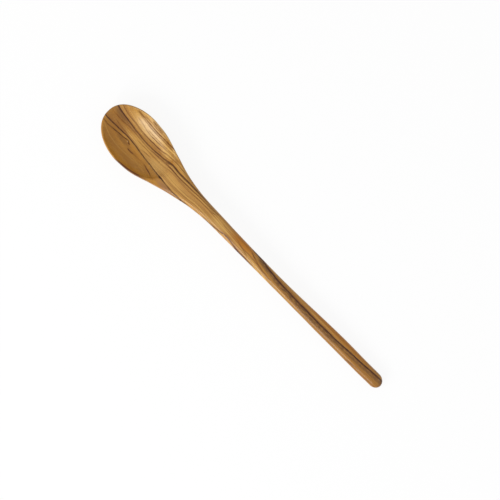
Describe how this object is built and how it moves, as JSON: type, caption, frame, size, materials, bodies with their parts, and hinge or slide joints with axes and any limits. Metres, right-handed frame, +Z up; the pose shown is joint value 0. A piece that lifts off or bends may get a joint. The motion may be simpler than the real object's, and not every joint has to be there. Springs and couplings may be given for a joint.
{
  "type": "wooden spoon",
  "caption": "Long wooden cooking spoon with a shallow oval bowl, a thin level rim and a slender oval handle with a rounded end.",
  "frame": {"origin": "on the surface that the spoon lies on, under the middle of its length and width", "axes": "+X along the handle, from the tip of the bowl to the handle's end; +Z up, out of the hollow; +Y across the bowl"},
  "size_m": [0.3, 0.0438, 0.015],
  "materials": {
    "oiled_teak": "sanded and oiled, satin"
  },
  "bodies": {
    "root": {"spoon": "oiled_teak"}
  },
  "joints": []
}
